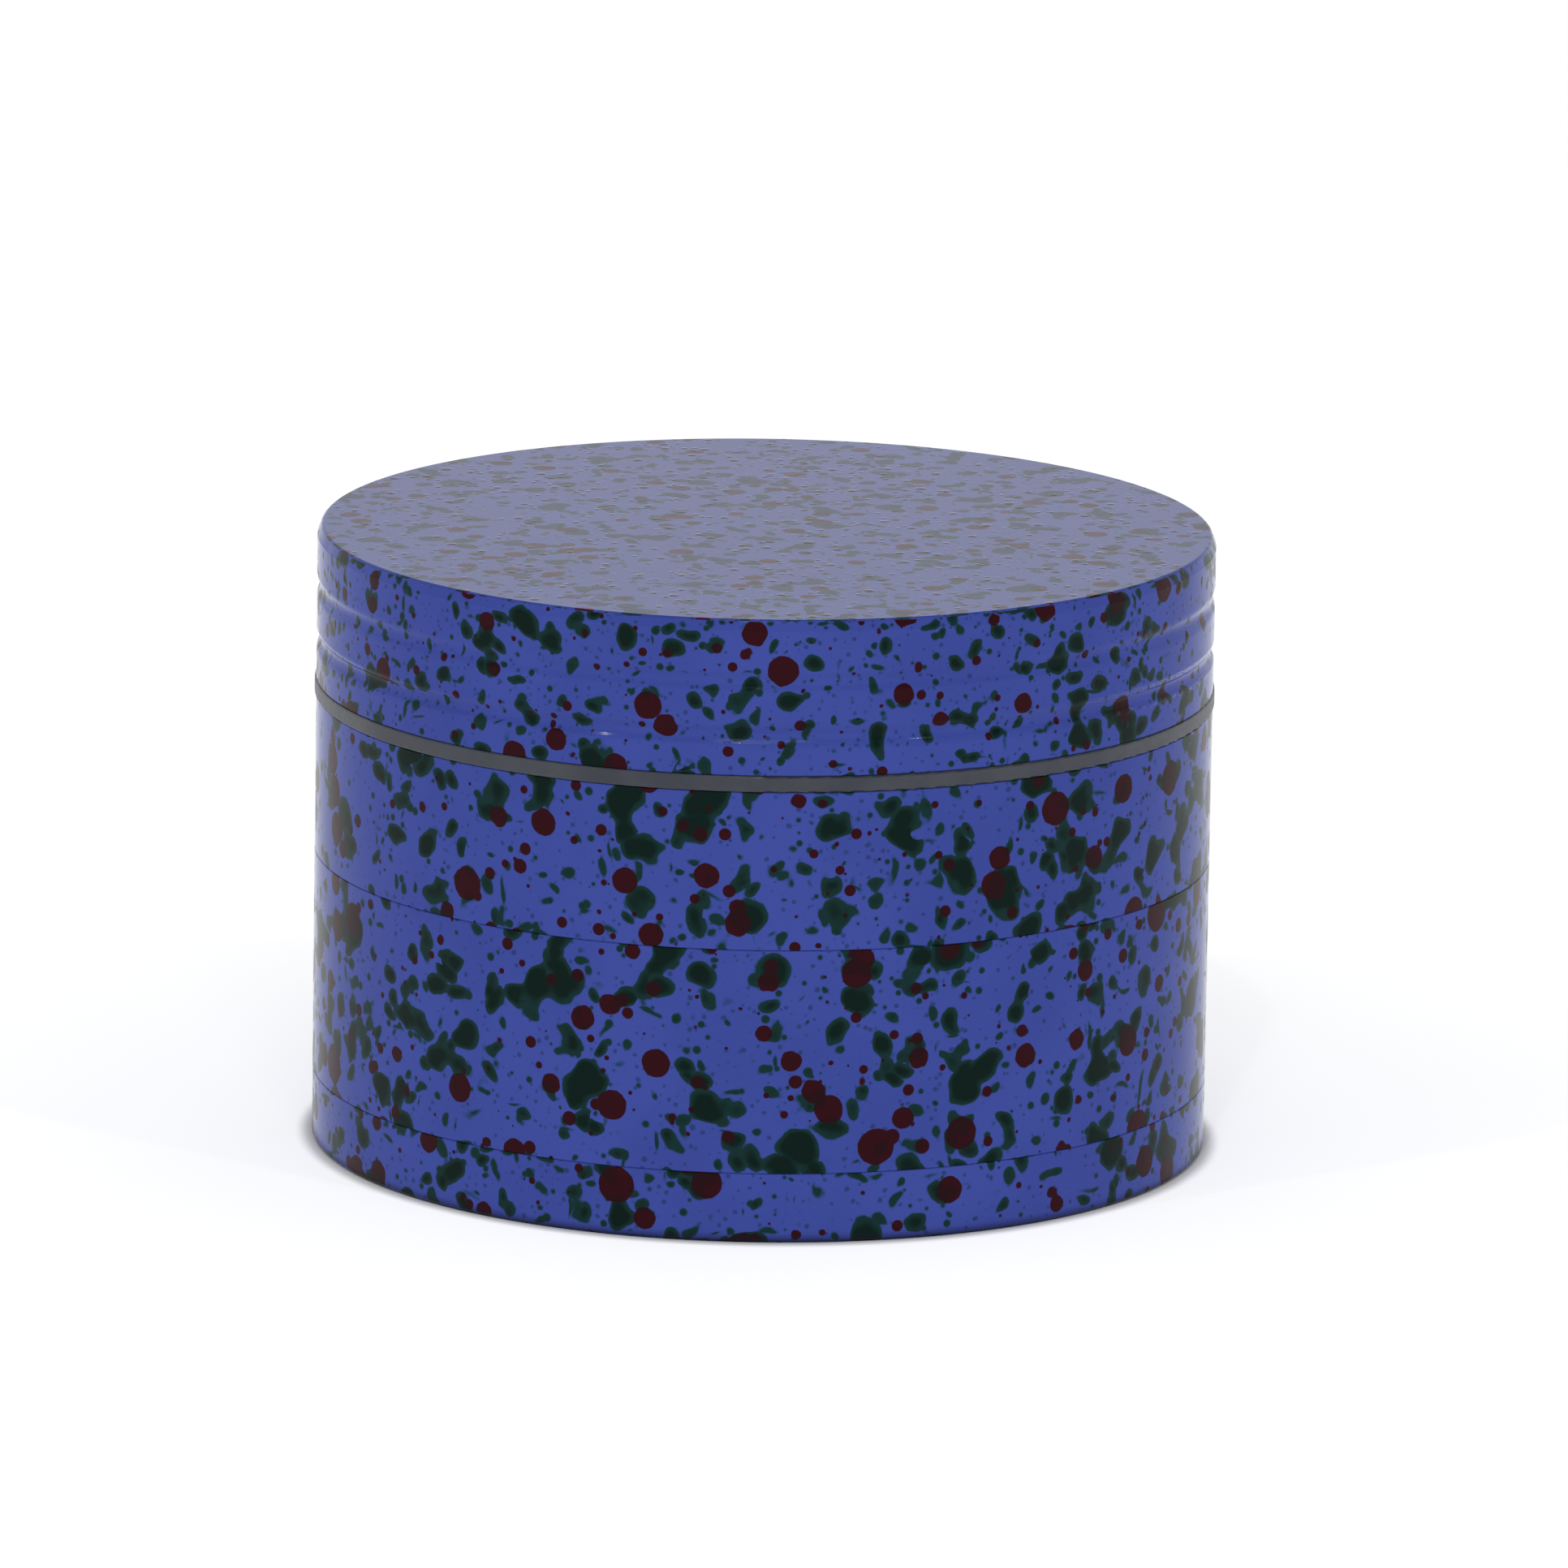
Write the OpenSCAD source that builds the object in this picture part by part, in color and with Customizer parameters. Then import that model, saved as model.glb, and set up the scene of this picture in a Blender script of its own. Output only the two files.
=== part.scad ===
// Herb grinder in four screwed or spinning metal pieces: a pollen catcher at the foot, a storage
// chamber with a mesh screen in its floor, a grinding chamber with drop holes, and a magnetic lid.
// A flat plastic ring lies between the lid and the grinding chamber. The origin is the middle of
// the foot, and +Z is the axis that every piece is turned about.

/* [Body] */
// Outer diameter of the metal pieces
body_d = 63; // [60:0.5:66]
// Height of the pollen catcher
catcher_h = 4.9; // [4.7:0.1:6]
// Height of the storage chamber from seam to seam
storage_h = 15.75; // [14:0.25:24]
// Height of the grinding chamber from its seam to the plastic ring
chamber_h = 11.1; // [10.5:0.1:14]
// Thickness of the plastic ring
ring_t = 1.15; // [0.8:0.05:2]
// How far the plastic ring stands out past the metal
ring_proud = 0.1; // [0:0.05:0.3]
// Height of the lid above the plastic ring
lid_h = 10.85; // [10:0.05:14]

/* [Edges] */
// Chamfer round the foot
foot_chamfer = 0.25; // [0.1:0.05:1]
// Chamfer on both sides of each screwed seam
seam_chamfer = 0.06; // [0.04:0.01:0.3]
// Air gap between the two pieces at each seam
seam_gap = 0.015; // [0.01:0.005:0.1]
// Chamfer on the lid and on the grinding chamber where they meet the plastic ring
ring_seat_chamfer = 0.05; // [0.02:0.01:0.3]
// Height of the bevel round the top of the lid
top_bevel_h = 0.75; // [0.3:0.05:1.2]
// Width of the bevel round the top of the lid
top_bevel_w = 0.3; // [0.1:0.05:0.6]
// Radius between the bevel and the lid's top face
top_edge_r = 0.25; // [0.1:0.05:0.4]

/* [Grip grooves] */
// Width of each groove round the lid, with its rounded lips
groove_w = 1.8; // [1.2:0.1:2.4]
// Depth of the lower groove
lower_groove_depth = 0.32; // [0.1:0.02:0.5]
// Depth of the upper groove
upper_groove_depth = 0.24; // [0.1:0.02:0.5]
// Height of the lower groove's middle above the lid's lower edge
lower_groove_z = 2.8; // [2:0.05:3.5]
// Height of the upper groove's middle above the lid's lower edge
upper_groove_z = 6.6; // [5.8:0.05:7.6]

/* [Screw threads] */
// Rise of a thread in one turn
thread_pitch = 1.5; // [1.4:0.05:1.8]
// How far a thread ridge stands out of its wall
thread_depth = 0.55; // [0.4:0.05:0.6]
// Radial gap between a neck and the socket around it
thread_gap = 0.9; // [0.8:0.05:1.1]
// Metal left outside a threaded socket
socket_wall = 2.2; // [2:0.1:2.6]
// Length of the storage chamber's neck
storage_neck_h = 2.9; // [2.6:0.1:3.1]
// Length of the grinding chamber's neck
chamber_neck_h = 3.3; // [3:0.1:3.6]

/* [Hollows] */
// Thickness of the pollen catcher's floor
catcher_floor_t = 1.6; // [1.2:0.1:1.8]
// Thickness of the grinding chamber's floor, which starts level with the lower seam
chamber_floor_t = 3.4; // [2.8:0.1:4]
// Thickness of the lid's top plate
lid_plate_t = 4.75; // [3.5:0.25:5.5]
// Wall thickness of the grinding chamber above its floor
chamber_wall = 2.4; // [2:0.1:2.8]
// Length of the spigot that centres the lid in the grinding chamber
spigot_h = 3.4; // [2.4:0.1:4]
// Thickness of the lid's spigot
spigot_wall = 1.65; // [1.2:0.05:2]

/* [Screen] */
// Height of the screen's underside above the storage chamber's lower seam
screen_z = 1.85; // [1.6:0.05:2.2]
// Thickness of the woven screen
screen_t = 0.22; // [0.1:0.02:0.3]
// Width of the ledge that the screen is pressed against
ledge_w = 1.6; // [1.2:0.1:2.2]
// Height of the ring that holds the screen up
screen_ring_h = 1.2; // [0.8:0.1:1.5]

/* [Teeth and drop holes] */
// Radial width of a diamond tooth
tooth_w = 3.2; // [2.6:0.1:3.4]
// Length of a diamond tooth round its ring
tooth_l = 5.6; // [4.6:0.1:6]
// Height of the grinding chamber's teeth
chamber_tooth_h = 10; // [8:0.5:11]
// Length of the lid's teeth
lid_tooth_h = 12; // [8:0.5:12]
// Diameter of a drop hole
drop_hole_d = 4.6; // [3.6:0.2:4.6]

/* [Magnets] */
// Diameter of both centre posts
post_d = 13; // [12:0.5:14]
// Diameter of both magnets
magnet_d = 10; // [8:0.5:10]
// Thickness of both magnets
magnet_t = 2.4; // [1.5:0.1:3]
// Gap between the two posts when the lid is on
post_gap = 0.5; // [0.4:0.1:1]

/* [Hidden] */

$fn = 144;
over = 0.5;            // how far a cutting shape runs past the face that it opens
running_fit = 0.08;    // radial clearance of a ring or disc in its seat

body_r = body_d / 2;

// Heights of the seams, from the foot up
storage_z = catcher_h;
chamber_z = storage_z + storage_h;
ring_z = chamber_z + chamber_h;
lid_z = ring_z + ring_t;
top_z = lid_z + lid_h;

// Threaded necks and sockets
socket_r = body_r - socket_wall;
neck_r = socket_r - thread_gap;
neck_bore_r = neck_r - 1.8;
thread_root_w = 0.7;   // width of a thread ridge where it leaves the wall
thread_crest_w = 0.3;  // width of a thread ridge at its crest
thread_sink = 0.3;     // how deep a thread ridge is rooted in its wall
lead_in = 0.3;         // chamfer at a neck's end and at a socket's mouth
thread_end_gap = 0.5;  // from a neck's end to the middle of its first ridge
thread_steps = 48;     // sections in one turn of a thread
storage_neck_z = storage_z - storage_neck_h;
chamber_neck_z = chamber_z - chamber_neck_h;
storage_thread_turns = 1.2;
chamber_thread_turns = 1.4;

// Screen seat in the foot of the storage chamber
screen_base_z = storage_z + screen_z;
ledge_z = screen_base_z + screen_t + 0.01;
ledge_t = 0.8;
ledge_r = neck_bore_r - ledge_w;
storage_bore_r = neck_bore_r + 0.6;
cove_r = storage_bore_r - ledge_r;

// Grinding space
floor_z = chamber_z + chamber_floor_t;
ceiling_z = top_z - lid_plate_t;
chamber_bore_r = body_r - chamber_wall;
spigot_r = chamber_bore_r - 0.25;
ring_bore_r = spigot_r + running_fit;
lid_bore_r = spigot_r - spigot_wall;
post_r = post_d / 2;
chamber_post_z = floor_z + 7;
lid_post_z = chamber_post_z + post_gap;
magnet_inset = 0.1;    // how far a magnet lies below its post's face

// Rings of teeth, from the wall inwards: chamber, lid, chamber, lid
tooth_ring_step = 3.95;
outer_chamber_r = lid_bore_r - 2.7;
outer_lid_r = outer_chamber_r - tooth_ring_step;
inner_chamber_r = outer_lid_r - tooth_ring_step;
inner_lid_r = inner_chamber_r - tooth_ring_step;

metal = "slateblue";
bare_metal = "silver";
plastic = "dimgray";

// Copies its children evenly round the axis, with a gap between two of them at angle 0
module round_ring(count, radius) {
    for (i = [0 : count - 1])
        rotate([0, 0, (i + 0.5) * 360 / count]) translate([radius, 0, 0]) children();
}

// Rectangle from one corner to the opposite one, in the plane of a turned profile
module block(low, high) {
    translate(low) square(high - low);
}

// Rectangle like block(), with its two outer corners cut at 45 degrees
module bevelled_block(low, high, low_cut, high_cut) {
    polygon([low, [high[0] - low_cut, low[1]], [high[0], low[1] + low_cut],
             [high[0], high[1] - high_cut], [high[0] - high_cut, high[1]], [low[0], high[1]]]);
}

// Profile of a socket's opening: bore, floor and a chamfered mouth at the top
module socket_profile(radius, floor, top) {
    polygon([[0, floor], [radius, floor], [radius, top - lead_in], [radius + lead_in, top],
             [radius + lead_in, top + over], [0, top + over]]);
}

// Points of one section across a thread ridge; reach is 0 at the buried root and 1 at the crest
function ridge_section(wall_r, side, angle, z, reach) =
    let (root = wall_r - side * thread_sink,
         crest = root + side * reach * (thread_depth + thread_sink))
    [for (p = [[root, -thread_root_w], [crest, -thread_crest_w], [crest, thread_crest_w],
               [root, thread_root_w]])
        [p[0] * cos(angle), p[0] * sin(angle), z + side * p[1] / 2]];

// Right-hand thread ridge on a wall. side is 1 for a neck and -1 for a socket, and both ends
// of the ridge sink into the wall.
module thread_ridge(wall_r, side, z, turns) {
    last = round(turns * thread_steps);
    run_in = 6;
    sections = [for (i = [0 : last])
        ridge_section(wall_r, side, i * 360 / thread_steps, z + i * thread_pitch / thread_steps,
                      0.3 + 0.7 * min(1, i / run_in, (last - i) / run_in))];
    polyhedron(
        points = [for (s = sections) each s],
        faces = [[0, 3, 2, 1],
                 for (i = [0 : last - 1], j = [0 : 3])
                     let (a = 4 * i + j, b = 4 * i + (j + 1) % 4) [a, b, b + 4, a + 4],
                 [for (j = [0 : 3]) 4 * last + j]]);
}

// One diamond tooth standing on z = 0, its long diagonal along the ring
module tooth(height) {
    linear_extrude(height)
        polygon([[tooth_w / 2, 0], [0, tooth_l / 2], [-tooth_w / 2, 0], [0, -tooth_l / 2]]);
}

// Shallow cup at the foot, with a threaded socket for the storage chamber
module pollen_catcher() {
    top = storage_z - seam_gap;
    color(metal) {
        rotate_extrude() difference() {
            bevelled_block([0, 0], [body_r, top], foot_chamfer, seam_chamfer);
            socket_profile(socket_r, catcher_floor_t, top);
        }
        rotate([0, 0, 180])
            thread_ridge(socket_r, -1, storage_neck_z + thread_end_gap, storage_thread_turns);
    }
}

// Tube with a neck below, a socket above and a ledge over the screen
module storage_chamber() {
    top = chamber_z - seam_gap;
    socket_floor_z = chamber_neck_z - 0.35;
    cove_top_z = ledge_z + ledge_t + cove_r;
    color(metal) {
        rotate_extrude() difference() {
            union() {
                bevelled_block([ledge_r, storage_z], [body_r, top], seam_chamfer, seam_chamfer);
                bevelled_block([ledge_r, storage_neck_z], [neck_r, storage_z + over], lead_in, 0);
            }
            block([0, storage_neck_z - over], [neck_bore_r, ledge_z]);
            translate([ledge_r, cove_top_z]) circle(cove_r);
            block([0, cove_top_z], [storage_bore_r, top]);
            socket_profile(socket_r, socket_floor_z, top);
        }
        thread_ridge(neck_r, 1, storage_neck_z + thread_end_gap, storage_thread_turns);
        rotate([0, 0, 180])
            thread_ridge(socket_r, -1, chamber_neck_z + thread_end_gap, chamber_thread_turns);
    }
}

// Disc that fills the outline of the woven screen
module mesh_screen() {
    color(bare_metal)
        translate([0, 0, screen_base_z]) cylinder(h = screen_t, r = neck_bore_r - running_fit);
}

// Ring that holds the screen against its ledge
module screen_retaining_ring() {
    top = screen_base_z - 0.05;
    color(bare_metal)
        rotate_extrude()
            bevelled_block([ledge_r, top - screen_ring_h], [neck_bore_r - running_fit, top],
                           0.2, 0.2);
}

// Cup with a neck below, drop holes in its floor and a centre post
module grinding_chamber() {
    top = ring_z - seam_gap;
    corner = 0.8;
    color(metal) {
        difference() {
            rotate_extrude() difference() {
                union() {
                    bevelled_block([0, chamber_z], [body_r, top], seam_chamfer,
                                   ring_seat_chamfer);
                    bevelled_block([0, chamber_neck_z], [neck_r, chamber_z + over], lead_in, 0);
                }
                block([0, chamber_neck_z - over], [neck_bore_r, chamber_z]);
                block([post_r, floor_z], [chamber_bore_r - corner, top + over]);
                block([post_r, floor_z + corner], [chamber_bore_r, top + over]);
                translate([chamber_bore_r - corner, floor_z + corner]) circle(corner);
                block([0, chamber_post_z], [post_r + over, top + over]);
                block([0, chamber_post_z - magnet_t - magnet_inset],
                      [magnet_d / 2 + running_fit, chamber_post_z + over]);
            }
            drop_holes(16, outer_lid_r);
            drop_holes(8, inner_lid_r - 0.6);
        }
        thread_ridge(neck_r, 1, chamber_neck_z + thread_end_gap, chamber_thread_turns);
    }
}

module drop_holes(count, radius) {
    round_ring(count, radius)
        translate([0, 0, chamber_z - over])
            cylinder(h = chamber_floor_t + 2 * over, d = drop_hole_d);
}

// Two rings of diamond teeth that stand on the grinding chamber's floor
module chamber_teeth() {
    color(bare_metal) translate([0, 0, floor_z]) {
        round_ring(12, outer_chamber_r) tooth(chamber_tooth_h);
        round_ring(8, inner_chamber_r) tooth(chamber_tooth_h);
    }
}

module magnet(base_z) {
    color(bare_metal) translate([0, 0, base_z]) cylinder(h = magnet_t, d = magnet_d);
}

// Magnet in the grinding chamber's post
module chamber_magnet() {
    magnet(chamber_post_z - magnet_inset - magnet_t);
}

// Flat ring that the lid turns on, with rounded edges
module friction_ring() {
    edge_r = 0.15;
    low = ring_z;
    high = lid_z - seam_gap;
    outer = body_r + ring_proud;
    color(plastic)
        rotate_extrude() {
            block([ring_bore_r, low], [outer - edge_r, high]);
            block([outer - 2 * edge_r, low + edge_r], [outer, high - edge_r]);
            for (z = [low + edge_r, high - edge_r]) translate([outer - edge_r, z]) circle(edge_r);
        }
}

// Outer wall and top of the lid, with a small radius over the bevel
module lid_outline() {
    top_turn = atan2(top_bevel_h, top_bevel_w);
    run = top_edge_r * tan(top_turn / 2);
    polygon([[0, lid_z], [body_r - ring_seat_chamfer, lid_z], [body_r, lid_z + ring_seat_chamfer],
             [body_r, top_z - top_bevel_h],
             [body_r - top_bevel_w + run * cos(top_turn), top_z - run * sin(top_turn)],
             [body_r - top_bevel_w - run, top_z], [0, top_z]]);
    translate([body_r - top_bevel_w - run, top_z - top_edge_r]) circle(top_edge_r);
}

// Cross-section of a grip groove, made of three arcs of one radius: a lip, the hollow and a lip
module groove_profile(depth) {
    turn = 2 * atan(2 * depth / groove_w);
    arc_r = groove_w / 4 / sin(turn);
    translate([body_r, 0]) {
        intersection() {
            block([-depth - over, -groove_w / 4], [over, groove_w / 4]);
            translate([arc_r - depth, 0]) circle(arc_r);
        }
        for (side = [-1, 1])
            difference() {
                polygon([[-depth / 2, side * groove_w / 4], [over, side * groove_w / 4],
                         [over, side * groove_w / 2], [0, side * groove_w / 2]]);
                translate([-arc_r, side * groove_w / 2]) circle(arc_r);
            }
    }
}

// Cap with two grip grooves, a spigot and a centre post
module lid() {
    corner = 1.5;
    spigot_z = lid_z - spigot_h;
    color(metal)
        rotate_extrude() difference() {
            union() {
                lid_outline();
                bevelled_block([0, spigot_z], [spigot_r, lid_z + over], lead_in, 0);
            }
            translate([0, lid_z + lower_groove_z]) groove_profile(lower_groove_depth);
            translate([0, lid_z + upper_groove_z]) groove_profile(upper_groove_depth);
            block([post_r, spigot_z - over], [lid_bore_r, ceiling_z - corner]);
            block([post_r, ceiling_z - 2 * corner], [lid_bore_r - corner, ceiling_z]);
            translate([lid_bore_r - corner, ceiling_z - corner]) circle(corner);
            block([0, spigot_z - over], [post_r + over, lid_post_z]);
            block([0, lid_post_z - over],
                  [magnet_d / 2 + running_fit, lid_post_z + magnet_t + magnet_inset]);
        }
}

// Two rings of diamond teeth that hang from the lid
module lid_teeth() {
    color(bare_metal) translate([0, 0, ceiling_z - lid_tooth_h]) {
        round_ring(12, outer_lid_r) tooth(lid_tooth_h);
        round_ring(6, inner_lid_r) tooth(lid_tooth_h);
    }
}

// Magnet in the lid's post
module lid_magnet() {
    magnet(lid_post_z + magnet_inset);
}

pollen_catcher();
storage_chamber();
mesh_screen();
screen_retaining_ring();
grinding_chamber();
chamber_teeth();
chamber_magnet();
friction_ring();
lid();
lid_teeth();
lid_magnet();
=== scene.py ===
"""Looks of the four-piece herb grinder: speckled enamel outside, turned aluminium inside."""

import math

import bmesh
import bpy
from mathutils import Matrix, Vector


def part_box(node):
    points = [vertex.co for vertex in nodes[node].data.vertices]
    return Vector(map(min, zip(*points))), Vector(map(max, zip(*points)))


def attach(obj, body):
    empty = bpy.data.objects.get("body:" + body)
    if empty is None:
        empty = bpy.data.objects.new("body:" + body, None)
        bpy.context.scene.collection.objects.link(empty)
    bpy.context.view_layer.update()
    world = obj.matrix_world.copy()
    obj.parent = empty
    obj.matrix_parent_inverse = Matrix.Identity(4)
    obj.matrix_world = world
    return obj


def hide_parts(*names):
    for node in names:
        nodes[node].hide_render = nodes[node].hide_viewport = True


MM = 0.001
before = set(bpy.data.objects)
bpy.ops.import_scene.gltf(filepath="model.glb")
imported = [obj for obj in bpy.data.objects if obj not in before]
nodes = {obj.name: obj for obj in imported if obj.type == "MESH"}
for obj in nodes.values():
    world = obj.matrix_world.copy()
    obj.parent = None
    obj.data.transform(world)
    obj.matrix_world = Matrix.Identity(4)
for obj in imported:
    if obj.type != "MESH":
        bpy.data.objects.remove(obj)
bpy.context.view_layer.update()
scene = bpy.context.scene


# ---------------------------------------------------------------- sizes read from the frame

def radius(node):
    """Outer radius of a turned node, in mm."""
    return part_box(node)[1].x / MM


def top(node):
    """Highest height of a node, in mm."""
    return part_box(node)[1].z / MM


BODY_R = radius("storage_chamber")
TOP_Z = top("lid")

# How far the paint reaches into the metal, in mm
WALL_PAINT_DEPTH = 0.45     # from the outer radius
TOP_PAINT_DEPTH = 0.8       # from the lid's top face
FOOT_PAINT_DEPTH = 0.3      # from the foot
PAINT_FADE = 0.1            # width of the border between paint and bare metal


# ---------------------------------------------------------------- shader graphs

class Graph:
    """The shader nodes of one material. Any input may be a number, a vector or a socket."""

    def __init__(self, name):
        self.material = bpy.data.materials.new(name)
        self.material.use_nodes = True
        self.tree = self.material.node_tree
        self.tree.nodes.clear()

    def set(self, socket, value):
        if isinstance(value, bpy.types.NodeSocket):
            self.tree.links.new(value, socket)
        elif value is not None:
            socket.default_value = value

    def add(self, kind, inputs=(), **settings):
        node = self.tree.nodes.new(kind)
        for name, value in settings.items():
            setattr(node, name, value)
        for key, value in dict(inputs).items():
            self.set(node.inputs[key], value)
        return node

    def math(self, operation, a, b=None, c=None):
        node = self.add("ShaderNodeMath", operation=operation)
        for socket, value in zip(node.inputs, (a, b, c)):
            self.set(socket, value)
        return node.outputs[0]

    def vector(self, operation, a, b=None, scale=None):
        node = self.add("ShaderNodeVectorMath", operation=operation)
        self.set(node.inputs[0], a)
        self.set(node.inputs[1], b)
        if scale is not None:
            self.set(node.inputs["Scale"], scale)
        return node.outputs["Value"] if operation == "LENGTH" else node.outputs[0]

    def xyz(self, x, y, z):
        return self.add("ShaderNodeCombineXYZ", {"X": x, "Y": y, "Z": z}).outputs[0]

    def split(self, vector):
        return self.add("ShaderNodeSeparateXYZ", {0: vector}).outputs[:3]

    def ramp(self, value, low, high, start=0.0, end=1.0):
        """Smooth step from start to end as value goes from low to high."""
        node = self.add("ShaderNodeMapRange", {"Value": value, "From Min": low, "From Max": high,
                                               "To Min": start, "To Max": end},
                        interpolation_type="SMOOTHSTEP")
        return node.outputs[0]

    def mix(self, share, a, b):
        """Colour a where share is 0, and b where it is 1."""
        node = self.add("ShaderNodeMix", data_type="RGBA")
        for name, value in (("Factor_Float", share), ("A_Color", a), ("B_Color", b)):
            self.set(next(s for s in node.inputs if s.identifier == name), value)
        return next(s for s in node.outputs if s.identifier == "Result_Color")

    def noise(self, at, size, detail=2.0, roughness=0.5):
        """Noise whose features are about size mm across. Returns (value, colour)."""
        node = self.add("ShaderNodeTexNoise", {"Vector": at, "Scale": 1 / size, "Detail": detail,
                                               "Roughness": roughness})
        return node.outputs["Fac"], node.outputs["Color"]

    def bump(self, height, distance):
        """Normals of a surface that rises by distance mm where height goes from 0 to 1."""
        node = self.add("ShaderNodeBump", {"Height": height, "Distance": distance * MM,
                                           "Strength": 1.0})
        return node.outputs[0]

    def place(self, shift=(0, 0, 0)):
        """Place on the object, in mm from the row's origin, moved by shift."""
        at = self.add("ShaderNodeTexCoord").outputs["Object"]
        at = self.vector("SCALE", at, scale=1 / MM)
        return self.vector("ADD", at, shift) if any(shift) else at

    def finish(self, inputs):
        shader = self.add("ShaderNodeBsdfPrincipled", inputs)
        output = self.add("ShaderNodeOutputMaterial")
        self.tree.links.new(shader.outputs[0], output.inputs["Surface"])
        return self.material


def rgb(red, green, blue):
    """Shader colour from the 0 to 255 numbers of a screen colour."""
    def linear(c):
        c /= 255
        return c / 12.92 if c <= 0.04045 else ((c + 0.055) / 1.055) ** 2.4
    return (linear(red), linear(green), linear(blue), 1.0)


# ---------------------------------------------------------------- speckled enamel

BLUE = rgb(54, 67, 142)
BLUE_PALE = rgb(58, 72, 149)
GREEN = rgb(1, 24, 19)
GREEN_RIM = rgb(14, 43, 42)
GREEN_HALO = rgb(24, 58, 84)
RED = rgb(43, 3, 12)
RED_THIN = rgb(64, 10, 52)
BROWN = rgb(33, 6, 12)
MIST = rgb(30, 50, 92)
# painted shade: the colour that darkens the outer wall just above the foot, standing in for the shade
# near the floor
PAINTED_FOOT_SHADE = rgb(16, 18, 34)
PAINTED_SHADE_HEIGHT = 0.8      # the painted shade on the wall fades out over this height above the foot, in mm
PAINTED_SHADE_DEPTH = 0.3       # the painted shade fades out from this to twice this far in from the wall, in mm
TOP_FACE_DEPTH = 0.12   # paint this close to the lid's highest point counts as its top face, in mm
PAINT_IOR = 1.16


def blobs(g, at, cell, biggest, power, neck=0.0):
    """Distance in mm to the edge of the nearest blob, negative inside it. Blobs lie one in each
    cell of about cell mm, and their radius is biggest times a random number to the power. With a
    neck, in mm, close blobs run together as wet drops do."""
    def edge(feature, randomness):
        found = g.add("ShaderNodeTexVoronoi", {"Vector": at, "Scale": 1 / cell, "Randomness": randomness},
                      feature=feature)
        chance = g.split(found.outputs["Color"])[0]
        size = g.math("MULTIPLY", g.math("POWER", chance, power), g.math("MULTIPLY", biggest, -1.0))
        return g.math("MULTIPLY_ADD", found.outputs["Distance"], cell, size)
    if neck:
        return g.math("SMOOTH_MIN", edge("F1", 1.0), edge("F2", 1.0), neck)
    return edge("F1", 0.75)


def apart(g, place, step):
    """Another place for each step, so that the layers of blobs don't line up."""
    turned = g.add("ShaderNodeVectorRotate", {"Vector": place, "Rotation": (0.7 * step, 1.1, 0.4 * step)},
                   rotation_type="EULER_XYZ")
    return g.vector("ADD", turned.outputs[0], (17.3 * step, 5.7 * step, 29.1 * step))


def round_drops(g, at, redness):
    """Distances, in mm, to the edges of the small green and the small red drops that stand proud."""
    return blobs(g, apart(g, at, 5), 1.2, 0.32, 1.5), blobs(g, apart(g, at, 7), 1.7, 0.52 * redness, 1.6)


def speckles(g, at, greenness, redness):
    """Signed distances, in mm, to the green blobs, the red ones and the finest mist. greenness
    and redness scale the blobs."""
    crowd, drift = g.noise(at, 3.4, 1.0)
    drift = g.vector("SUBTRACT", drift, (0.5, 0.5, 0.5))
    _, wobble = g.noise(at, 0.7, 1.0)
    wobble = g.vector("SUBTRACT", wobble, (0.5, 0.5, 0.5))
    firm = g.vector("ADD", at, g.vector("SCALE", wobble, scale=0.2))
    loose = g.vector("ADD", firm, g.vector("SCALE", drift, scale=2.8))
    upright = g.vector("MULTIPLY", loose, (1.1, 1.1, 0.3))
    level = g.vector("MULTIPLY", loose, (0.35, 0.35, 1.1))
    crowd = g.ramp(crowd, 0.38, 0.62, 0.6 * greenness, 1.3 * greenness)
    green_drops, red_drops = round_drops(g, at, redness)

    # Each layer of blobs has a cell size, a biggest radius, a power and for some a neck.
    green = blobs(g, apart(g, loose, 1), 2.7, g.math("MULTIPLY", crowd, 1.5), 1.15, 0.6)
    green = g.math("SMOOTH_MIN", green,
                   blobs(g, apart(g, loose, 2), 1.5, g.math("MULTIPLY", crowd, 0.78), 1.2, 0.3), 0.3)
    green = g.math("SMOOTH_MIN", green, blobs(g, apart(g, upright, 3), 1.7, 0.32, 1.3), 0.15)
    green = g.math("SMOOTH_MIN", green, blobs(g, apart(g, level, 4), 1.7, 0.3, 1.3), 0.15)
    green = g.math("SMOOTH_MIN", green, green_drops, 0.1)
    red = g.math("SMOOTH_MIN", blobs(g, apart(g, firm, 6), 3.0, 1.35 * redness, 1.5, 0.2), red_drops, 0.2)
    red = g.math("MINIMUM", red, blobs(g, apart(g, firm, 8), 1.3, 0.2 * redness, 1.8))
    mist = blobs(g, apart(g, firm, 9), 0.6, 0.2, 1.6)
    return green, red, mist


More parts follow.
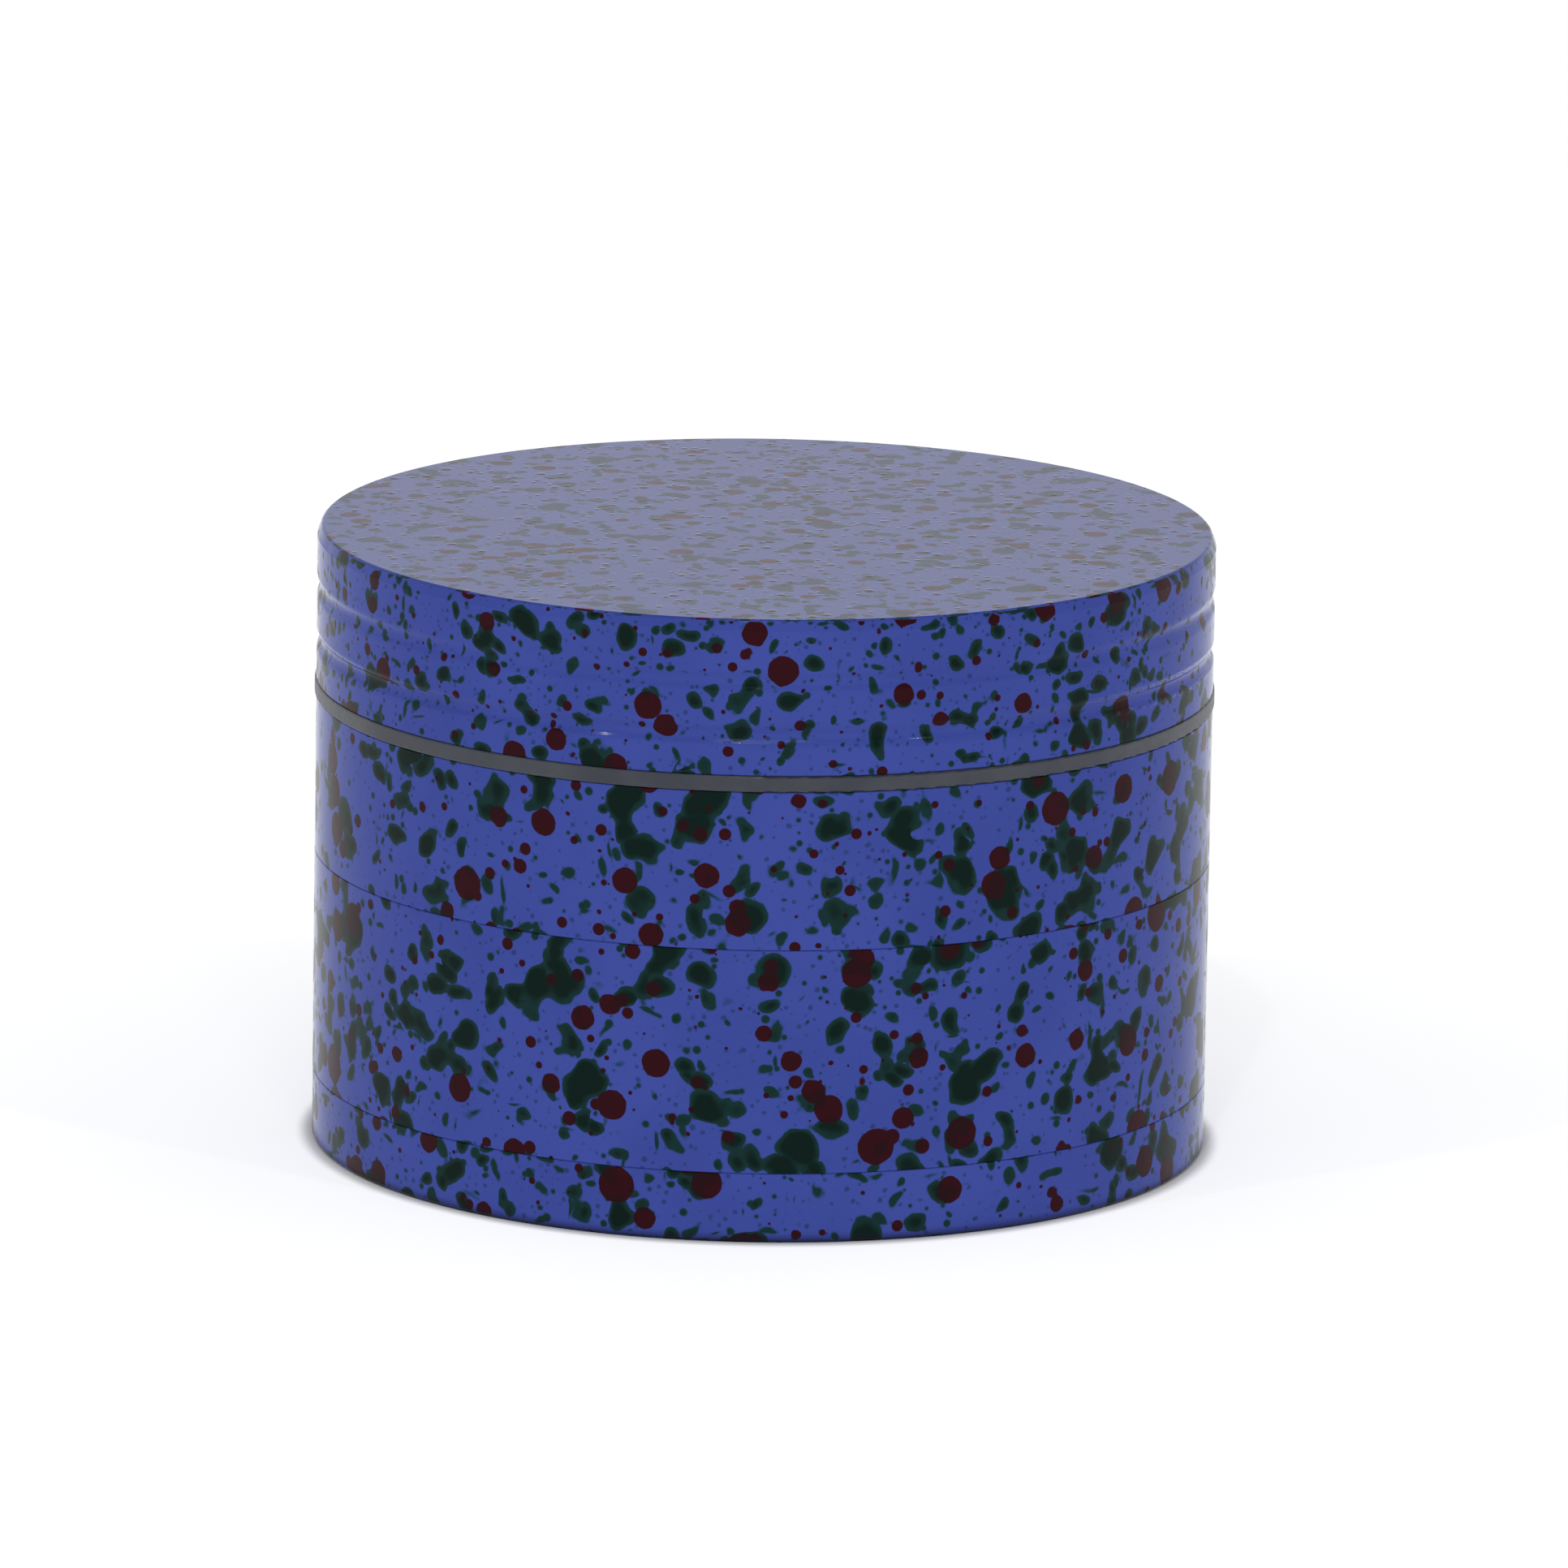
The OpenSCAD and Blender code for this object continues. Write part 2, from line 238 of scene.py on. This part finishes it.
def enamel(name, shift, outside, fineness, greenness, redness, relief=False, painted_shade_at_foot=False):
    """Blue enamel speckled in green and red over turned aluminium. outside(graph, radius, height)
    gives 1 where there is paint. The spatter is fineness times smaller than usual, and finer and
    thinner on the lid's top face. With relief the round drops stand proud of the ground, and with
    painted shade at the foot the lowest edge of the wall is painted darker, as shade near the floor."""
    g = Graph(name)
    plain = g.place()
    x, y, z = g.split(plain)
    r = g.vector("LENGTH", g.xyz(x, y, 0.0))
    painted = outside(g, r, z)
    on_top = g.math("GREATER_THAN", z, TOP_Z - TOP_FACE_DEPTH)

    at = g.place(shift)
    spattered = g.vector("SCALE", at, scale=g.math("MULTIPLY_ADD", on_top, 0.2, fineness))
    green, red, mist = speckles(g, spattered, greenness, redness)
    tone, _ = g.noise(at, 9.0, 3.0)
    colour = g.mix(g.ramp(tone, 0.3, 0.7), BLUE, BLUE_PALE)
    colour = g.mix(g.ramp(mist, 0.06, -0.06, 0.0, 0.75), colour, MIST)
    colour = g.mix(g.ramp(green, 0.1, -0.02, 0.0, 0.75), colour, GREEN_HALO)
    green_share = g.ramp(green, 0.015, -0.035)
    red_share = g.ramp(red, 0.03, -0.03)
    green_tint = g.math("MULTIPLY", green_share, g.math("MULTIPLY_ADD", on_top, -0.5, 1.0))
    colour = g.mix(green_tint, colour, g.mix(g.ramp(green, -0.08, -0.5), GREEN_RIM, GREEN))
    colour = g.mix(red_share, colour, g.mix(green_share, g.mix(on_top, RED, RED_THIN), BROWN))
    # painted shade: the outer wall is painted darker towards the foot, standing in for the shade near the
    # floor
    if painted_shade_at_foot:
        foot_shade_share = g.math("MULTIPLY", g.ramp(z, 0.0, PAINTED_SHADE_HEIGHT, 0.75, 0.0),
                       g.ramp(r, BODY_R - 2 * PAINTED_SHADE_DEPTH, BODY_R - PAINTED_SHADE_DEPTH))
        colour = g.mix(foot_shade_share, colour, PAINTED_FOOT_SHADE)

    metal = turned_metal(g, r, z, plain)
    colour = g.mix(painted, metal["colour"], colour)
    bare = g.math("SUBTRACT", 1.0, painted)
    peel, _ = g.noise(at, 1.6, 1.0)
    spotted = g.math("MAXIMUM", green_share, red_share)
    paint_roughness = g.math("MULTIPLY_ADD", spotted, 0.14, g.math("MULTIPLY_ADD", peel, 0.05, 0.06))
    gap = g.math("SUBTRACT", metal["roughness"], paint_roughness)
    roughness = g.math("MULTIPLY_ADD", gap, bare, paint_roughness)
    height = g.math("MULTIPLY_ADD", metal["height"], bare, g.math("MULTIPLY", peel, 0.12))
    if relief:
        drops = g.math("MINIMUM", *round_drops(g, spattered, redness))
        height = g.math("ADD", height, g.ramp(drops, 0.15, -0.2, 0.0, 1.0))
    return g.finish({"Base Color": colour, "Metallic": bare, "Roughness": roughness,
                     "IOR": PAINT_IOR, "Normal": g.bump(height, 0.02)})


def turned_metal(g, r, z, at):
    """Colour, roughness and relief of aluminium that was cut on a lathe."""
    groove, _ = g.noise(g.xyz(r, z, 0.0), 0.10, 3.0, 0.6)
    band, _ = g.noise(g.xyz(r, z, 5.0), 1.3, 2.0)
    stain, _ = g.noise(at, 6.0, 3.0)
    colour = g.mix(g.ramp(groove, 0.3, 0.7), rgb(196, 198, 202), rgb(222, 223, 226))
    colour = g.mix(g.ramp(stain, 0.45, 0.75, 0.0, 0.35), colour, rgb(170, 171, 176))
    roughness = g.math("MULTIPLY_ADD", band, 0.18, 0.20)
    return {"colour": colour, "roughness": roughness, "height": g.math("MULTIPLY", groove, 0.5)}


def outer_wall(g, r, z):
    """1 on the turned outer face of a piece."""
    edge = BODY_R - WALL_PAINT_DEPTH
    return g.ramp(r, edge - PAINT_FADE, edge)


def lid_outside(g, r, z):
    """1 on the lid's outer face and on its top."""
    edge = TOP_Z - TOP_PAINT_DEPTH
    return g.math("MAXIMUM", outer_wall(g, r, z), g.ramp(z, edge - PAINT_FADE, edge))


def foot_outside(g, r, z):
    """1 on the pollen catcher's outer face and under it."""
    return g.math("MAXIMUM", outer_wall(g, r, z),
                  g.ramp(z, FOOT_PAINT_DEPTH + PAINT_FADE, FOOT_PAINT_DEPTH))


# ---------------------------------------------------------------- other materials

def milled_aluminium(name):
    """Milled teeth: upright cutter marks on the side faces and a fine grain on the tops."""
    g = Graph(name)
    at = g.place()
    x, y, z = g.split(at)
    marks, _ = g.noise(g.xyz(g.math("MULTIPLY", x, 9.0), g.math("MULTIPLY", y, 9.0), z), 1.0, 2.0)
    stain, _ = g.noise(at, 3.0, 3.0)
    colour = g.mix(g.ramp(stain, 0.35, 0.7), rgb(214, 215, 218), rgb(186, 188, 193))
    return g.finish({"Base Color": colour, "Metallic": 1.0,
                     "Roughness": g.math("MULTIPLY_ADD", marks, 0.2, 0.2),
                     "Normal": g.bump(marks, 0.015)})


def nickel(name):
    g = Graph(name)
    at = g.place()
    scratch, _ = g.noise(g.vector("MULTIPLY", at, (0.6, 8.0, 1.0)), 1.0, 4.0, 0.7)
    haze, _ = g.noise(at, 2.5, 3.0)
    colour = g.mix(g.ramp(haze, 0.35, 0.7), rgb(205, 200, 192), rgb(182, 177, 170))
    return g.finish({"Base Color": colour, "Metallic": 1.0,
                     "Roughness": g.math("MULTIPLY_ADD", scratch, 0.22, 0.08),
                     "Normal": g.bump(scratch, 0.003)})


def steel(name):
    g = Graph(name)
    at = g.place()
    x, y, z = g.split(at)
    r = g.vector("LENGTH", g.xyz(x, y, 0.0))
    groove, _ = g.noise(g.xyz(r, z, 0.0), 0.08, 2.0)
    tone, _ = g.noise(at, 2.0, 2.0)
    colour = g.mix(g.ramp(tone, 0.3, 0.7), rgb(176, 175, 172), rgb(150, 149, 147))
    return g.finish({"Base Color": colour, "Metallic": 1.0,
                     "Roughness": g.math("MULTIPLY_ADD", groove, 0.25, 0.2),
                     "Normal": g.bump(groove, 0.01)})


def nylon(name):
    """Grey, slightly milky plastic with a faint moulded grain."""
    g = Graph(name)
    at = g.place()
    cloud, _ = g.noise(at, 4.0, 3.0)
    grain, _ = g.noise(at, 0.35, 2.0)
    colour = g.mix(g.ramp(cloud, 0.3, 0.7), rgb(46, 50, 60), rgb(58, 62, 68))
    return g.finish({"Base Color": colour, "Roughness": g.math("MULTIPLY_ADD", grain, 0.15, 0.32),
                     "IOR": 1.4, "Subsurface Weight": 0.25, "Subsurface Radius": (1.0, 1.0, 1.0),
                     "Subsurface Scale": 0.0008, "Normal": g.bump(grain, 0.012)})


# ---------------------------------------------------------------- woven screen

WIRE_PITCH = 0.75       # from one wire's middle to the next, in mm
WIRE_R = 0.055          # radius of a wire, in mm
WIRE_SIDES = 5


def wire(mesh, mid, half, side, wave, crosswise):
    """Adds one wire to a bmesh. It runs along X at y = side, from -half to half, and weaves over
    and under the crossing wires. crosswise swaps X and Y, for the wires that run along Y."""
    count = max(4, 2 * round(2 * half / WIRE_PITCH))
    ring = None
    for step in range(count + 1):
        along = half * (2 * step / count - 1)
        rise = WIRE_R * wave * math.cos(math.pi * along / WIRE_PITCH)
        points = []
        for corner in range(WIRE_SIDES):
            turn = 2 * math.pi * corner / WIRE_SIDES
            across = side + WIRE_R * math.cos(turn)
            x, y = (across, along) if crosswise else (along, across)
            points.append(mesh.verts.new((x * MM, y * MM, (mid + rise + WIRE_R * math.sin(turn)) * MM)))
        if ring:
            for a in range(WIRE_SIDES):
                b = (a + 1) % WIRE_SIDES
                mesh.faces.new((ring[a], ring[b], points[b], points[a])).smooth = True
        else:
            mesh.faces.new(points[::-1])
        ring = points
    mesh.faces.new(ring)


def woven_screen(material):
    """Plain weave of round wires, as wide as the CAD disc that it replaces."""
    low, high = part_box("mesh_screen")
    mid = (low.z + high.z) / 2 / MM
    reach = high.x / MM - WIRE_R
    shape = bmesh.new()
    last = int(reach / WIRE_PITCH)
    for crosswise in (False, True):
        for number in range(-last, last + 1):
            side = number * WIRE_PITCH
            half = math.sqrt(reach ** 2 - side ** 2)
            if half > WIRE_PITCH:
                wave = 1 if (number + crosswise) % 2 else -1
                wire(shape, mid, half, side, wave, crosswise)
    bmesh.ops.recalc_face_normals(shape, faces=shape.faces)
    mesh = bpy.data.meshes.new("woven_screen")
    shape.to_mesh(mesh)
    shape.free()
    mesh.materials.append(material)
    piece = bpy.data.objects.new("woven_screen", mesh)
    scene.collection.objects.link(piece)
    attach(piece, "storage_chamber")
    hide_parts("mesh_screen")


# ---------------------------------------------------------------- camera and stage

SENSOR_WIDTH = 36       # mm
FOCAL_LENGTH = 361.7    # mm
DISTANCE = 1.109        # from the camera to the middle of the grinder, in metres
ELEVATION = math.radians(12.70)
ROLL = math.radians(0.926)
MIDDLE = Vector((0, 0, 0.022))
OFF_CENTRE = Vector((0.001522, 0.003174, 0))    # camera's place right of the middle and above it

WALL_RADIANCE = 1.28    # of the studio's walls near the floor, where white paper is 1
CEILING_RADIANCE = 0.15
FLOOR_GLOW = 0.50       # the floor is a light table, so that it comes out white around the object
FOOT_SHADE = 1.3        # painted contact shadow: the floor's glow is missing at the foot and comes back over this distance, in mm
FLOOR_SIZE = 6          # metres
FLOOR_DROP = 0.02       # the floor lies this far under the foot, so that the faces stay apart, in mm

LAMP_DISTANCE = 1.6     # from the middle of the grinder, in metres
BULB_AZIMUTHS = (-51, -7, 49)
BULB_ELEVATION = 48


def pale_floor():
    bpy.ops.mesh.primitive_plane_add(size=FLOOR_SIZE, location=(0, 0, -FLOOR_DROP * MM))
    floor = bpy.context.object
    floor.name = "floor"
    g = Graph("floor_paper")
    at = g.place()
    x, y, _ = g.split(at)
    # painted contact shadow: the glow is left out next to the foot, so the floor is darker there, on top
    # of the real shadow
    glow = g.ramp(g.vector("LENGTH", g.xyz(x, y, 0.0)), BODY_R, BODY_R + FOOT_SHADE, 0.0, FLOOR_GLOW)
    cloud, _ = g.noise(at, 60.0, 2.0)
    colour = g.mix(g.ramp(cloud, 0.3, 0.7), (0.78, 0.78, 0.785, 1), (0.80, 0.80, 0.805, 1))
    floor.data.materials.append(g.finish({"Base Color": colour, "Roughness": 0.9,
                                          "Specular IOR Level": 0.0, "Emission Color": (1, 1, 1, 1),
                                          "Emission Strength": glow}))


def lamp(name, azimuth, elevation, size, radiance):
    """Square lamp, size metres a side, that shines at the grinder. Azimuth is in degrees to the
    right of the camera, and radiance is how many times brighter than white paper it looks."""
    light = bpy.data.lights.new(name, "AREA")
    light.size = size
    light.energy = radiance * math.pi * size ** 2
    piece = bpy.data.objects.new(name, light)
    turn, rise = math.radians(azimuth), math.radians(elevation)
    away = Vector((math.cos(rise) * math.sin(turn), -math.cos(rise) * math.cos(turn), math.sin(rise)))
    piece.location = MIDDLE + away * LAMP_DISTANCE
    piece.rotation_euler = away.to_track_quat("Z", "Y").to_euler()
    scene.collection.objects.link(piece)


def studio():
    """White walls that darken towards the ceiling, a ceiling panel and three bulbs."""
    world = bpy.data.worlds.new("studio")
    scene.world = world
    world.use_nodes = True
    tree = world.node_tree
    direction = tree.nodes.new("ShaderNodeTexCoord")
    height = tree.nodes.new("ShaderNodeSeparateXYZ")
    shade = tree.nodes.new("ShaderNodeMapRange")
    shade.inputs["To Min"].default_value = WALL_RADIANCE
    shade.inputs["To Max"].default_value = CEILING_RADIANCE
    tree.links.new(direction.outputs["Generated"], height.inputs[0])
    tree.links.new(height.outputs["Z"], shade.inputs["Value"])
    background = tree.nodes["Background"]
    background.inputs["Color"].default_value = (0.97, 0.98, 1.0, 1)
    tree.links.new(shade.outputs[0], background.inputs["Strength"])
    scene.view_settings.view_transform = "Standard"
    lamp("ceiling_panel", azimuth=0, elevation=50, size=0.55, radiance=4.0)
    for number, azimuth in enumerate(BULB_AZIMUTHS):
        lamp(f"bulb_{number}", azimuth, BULB_ELEVATION, size=0.03, radiance=430.0)


def photo_camera():
    camera = bpy.data.objects.new("camera", bpy.data.cameras.new("camera"))
    scene.collection.objects.link(camera)
    camera.data.lens = FOCAL_LENGTH
    camera.data.sensor_width = SENSOR_WIDTH
    camera.data.clip_end = 20
    tilt = Matrix.Rotation(math.pi / 2 - ELEVATION, 4, "X")
    turn = tilt @ Matrix.Rotation(ROLL, 4, "Z")
    back = tilt @ Vector((0, 0, DISTANCE))
    aside = turn @ OFF_CENTRE
    camera.matrix_world = Matrix.Translation(MIDDLE + back + aside) @ turn
    scene.camera = camera


# ---------------------------------------------------------------- build

def paint(node, material):
    mesh = nodes[node].data
    mesh.materials.clear()
    mesh.materials.append(material)
    for face in mesh.polygons:
        face.material_index = 0


photo_camera()
studio()
pale_floor()

paint("lid", enamel("enamel_lid", (3, 11, 47), lid_outside,
                    fineness=1.15, greenness=0.92, redness=0.95, relief=True))
paint("grinding_chamber", enamel("enamel_chamber", (83, 41, 19), outer_wall,
                                 fineness=1.0, greenness=1.0, redness=0.95))
paint("storage_chamber", enamel("enamel_storage", (61, 23, 37), outer_wall,
                                fineness=1.0, greenness=1.05, redness=1.1))
paint("pollen_catcher", enamel("enamel_catcher", (11, 37, 71), foot_outside,
                               fineness=1.0, greenness=0.9, redness=1.0, painted_shade_at_foot=True))
paint("friction_ring", nylon("grey_nylon"))
paint("chamber_teeth", milled_aluminium("milled_aluminium"))
paint("lid_teeth", milled_aluminium("milled_aluminium_lid"))
paint("chamber_magnet", nickel("nickel_chamber"))
paint("lid_magnet", nickel("nickel_lid"))
paint("screen_retaining_ring", steel("spring_steel"))
woven_screen(steel("steel_wire"))
